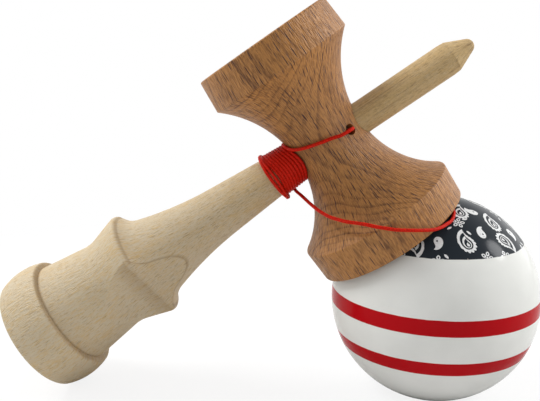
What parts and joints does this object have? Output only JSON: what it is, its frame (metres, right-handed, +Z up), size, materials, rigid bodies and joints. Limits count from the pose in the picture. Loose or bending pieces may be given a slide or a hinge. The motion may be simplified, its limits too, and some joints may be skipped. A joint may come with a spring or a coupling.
{
  "type": "kendama",
  "caption": "Turned wooden cup-and-ball toy: a spiked handle through a cross piece with two cups, and a painted ball on a string, set down with the large cup on the ball.",
  "frame": {"origin": "on the floor, at the middle of the toy's outline seen from above", "axes": "+Z up; +X from the base cup towards the ball; +Y away from the side that the picture shows. The toy stands with the ball's string hole straight up"},
  "size_m": [0.1568, 0.06, 0.1125],
  "materials": {
    "beech": "satin, bare",
    "red_beech": "satin, oiled",
    "painted_ball": "gloss paint",
    "bead_wood": "satin",
    "string_red": "braided"
  },
  "bodies": {
    "ken": {"ken": "beech", "sarado": "red_beech", "string_anchor": "string_red", "string_lead": "string_red", "string_winding": "string_red", "string_run": "string_red"},
    "stopper": {"bead": "bead_wood", "string_tail": "string_red", "string_stopper": "string_red"},
    "tama": {"tama": "painted_ball"}
  },
  "joints": [
    {"name": "tama_lift", "type": "slide", "parent": "ken", "child": "stopper", "axis": [0.5741, 0, -0.8188], "range_m": [0, 0.01], "deforming": ["string_run"]},
    {"name": "tama_spin", "type": "hinge", "parent": "stopper", "child": "tama", "pos_m": [0.04841, 0, 0.02758], "axis": [0, 0, 1], "continuous": true}
  ]
}
